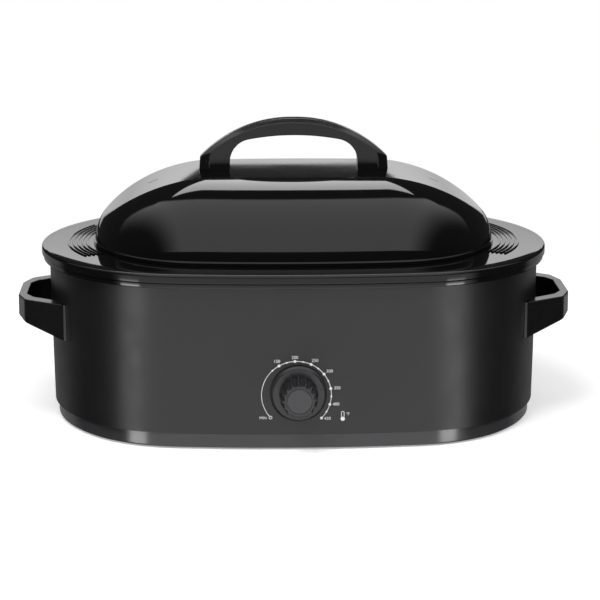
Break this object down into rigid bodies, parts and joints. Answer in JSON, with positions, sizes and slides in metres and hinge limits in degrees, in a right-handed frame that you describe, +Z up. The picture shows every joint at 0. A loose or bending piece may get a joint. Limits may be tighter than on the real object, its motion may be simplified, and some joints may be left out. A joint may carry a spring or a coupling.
{
  "type": "electric roaster oven",
  "caption": "Oval countertop roaster oven: lift-off domed lid with an arched handle, removable roasting pan and wire rack, heated outer body with side handles and a front temperature dial.",
  "frame": {"origin": "on the table under the middle of the object's box", "axes": "+X to the right along the long side, +Z up, the dial faces -Y"},
  "size_m": [0.61, 0.4342, 0.329],
  "materials": {
    "black_enamel": "gloss black enamel on steel",
    "charcoal_paint": "satin charcoal powder coat",
    "base_paint": "semi-gloss dark grey paint",
    "liner_steel": "plain aluminised steel",
    "heater_steel": "rolled steel sheath",
    "glass_fibre": "needled glass fibre",
    "black_phenolic": "moulded, semi-gloss",
    "knob_plastic": "moulded, gloss",
    "cap_plastic": "moulded, fine matt",
    "control_case": "moulded phenolic, matt",
    "zinc_steel": "zinc-plated",
    "aluminium": "sawn and tumbled",
    "rack_chrome": "bright plated wire",
    "foot_rubber": "moulded, matt",
    "lead_sleeve": "silicone sleeve",
    "bushing_nylon": "moulded, matt"
  },
  "bodies": {
    "housing": {"inner_well": "liner_steel", "outer_body": "charcoal_paint", "base_pan": "base_paint", "rubber_feet": "foot_rubber", "well_posts": "zinc_steel", "base_screws": "zinc_steel", "heating_band": "heater_steel", "band_clamp": "zinc_steel", "insulation_blanket": "glass_fibre", "thermostat": "control_case", "thermostat_bracket": "zinc_steel", "bracket_screws": "zinc_steel", "sensor_plate": "aluminium", "cord_bushing": "bushing_nylon", "terminal_block": "control_case", "internal_leads": "lead_sleeve", "thermal_fuse": "lead_sleeve", "side_handle_left": "black_phenolic", "side_handle_right": "black_phenolic", "side_handle_screws": "zinc_steel"},
    "pan": {"roasting_pan": "black_enamel"},
    "rack": {"roasting_rack": "rack_chrome"},
    "lid": {"lid_shell": "black_enamel", "lid_handle": "black_phenolic", "lid_handle_washers": "zinc_steel", "lid_handle_screws": "zinc_steel"},
    "knob": {"control_knob": "knob_plastic", "knob_cap": "cap_plastic", "knob_clip": "zinc_steel", "thermostat_shaft": "zinc_steel"}
  },
  "joints": [
    {"name": "pan_lift", "type": "slide", "parent": "housing", "child": "pan", "axis": [0, 0, 1], "range_m": [0, 0.17]},
    {"name": "rack_lift", "type": "slide", "parent": "pan", "child": "rack", "axis": [0, 0, 1], "range_m": [0, 0.16]},
    {"name": "lid_lift", "type": "slide", "parent": "rack", "child": "lid", "axis": [0, 0, 1], "range_m": [0, 0.15]},
    {"name": "knob_turn", "type": "hinge", "parent": "housing", "child": "knob", "pos_m": [0, -0.19, 0.0625], "axis": [0, 1, 0], "range_deg": [-208.5, 56.3]}
  ]
}
